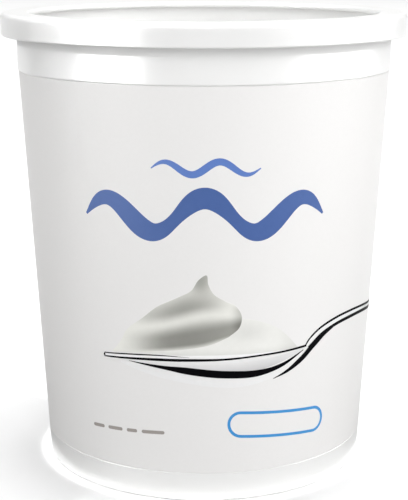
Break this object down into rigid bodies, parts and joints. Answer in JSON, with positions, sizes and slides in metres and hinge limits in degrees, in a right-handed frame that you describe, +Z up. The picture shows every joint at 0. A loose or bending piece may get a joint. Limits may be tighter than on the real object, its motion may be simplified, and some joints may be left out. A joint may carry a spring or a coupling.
{
  "type": "yogurt pot",
  "caption": "Open, tapered round plastic pot for yogurt with a hanging-skirt rim, a bare neck band, a foot ring and a printed label sleeve.",
  "frame": {"origin": "centre of the foot ring's lower face, on the pot's axis", "axes": "+Z up along the axis towards the open rim, -Y towards the front of the print, +X to the right of the print as seen from the front"},
  "size_m": [0.117, 0.117, 0.132],
  "materials": {
    "pot_plastic": "white polypropylene, moulded, soft gloss",
    "label_paper": "off-white coated paper, satin, printed in blues and greys"
  },
  "bodies": {
    "root": {"pot": "pot_plastic", "label": "label_paper"}
  },
  "joints": []
}
